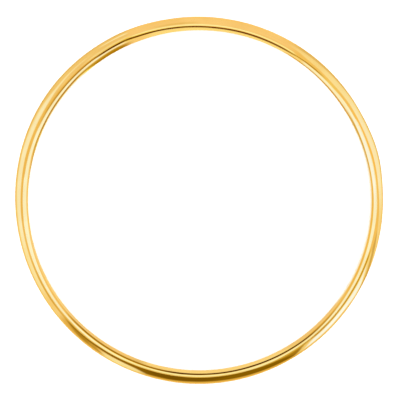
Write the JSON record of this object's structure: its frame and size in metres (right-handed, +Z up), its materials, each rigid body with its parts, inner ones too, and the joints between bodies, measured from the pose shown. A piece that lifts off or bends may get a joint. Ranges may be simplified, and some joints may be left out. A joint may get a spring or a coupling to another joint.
{
  "type": "bangle",
  "caption": "Plain half-round bangle: one closed, seamless ring of polished yellow gold that slides over the hand and sits loosely round the wrist.",
  "frame": {"origin": "centre of the opening, level with the lower rim that the bangle rests on", "axes": "+Z up, along the axis of the ring, which lies on its side; +X along the slightly longer diameter"},
  "size_m": [0.0678, 0.0678, 0.0043],
  "materials": {
    "gold": null
  },
  "bodies": {
    "root": {"band": "gold"}
  },
  "joints": []
}
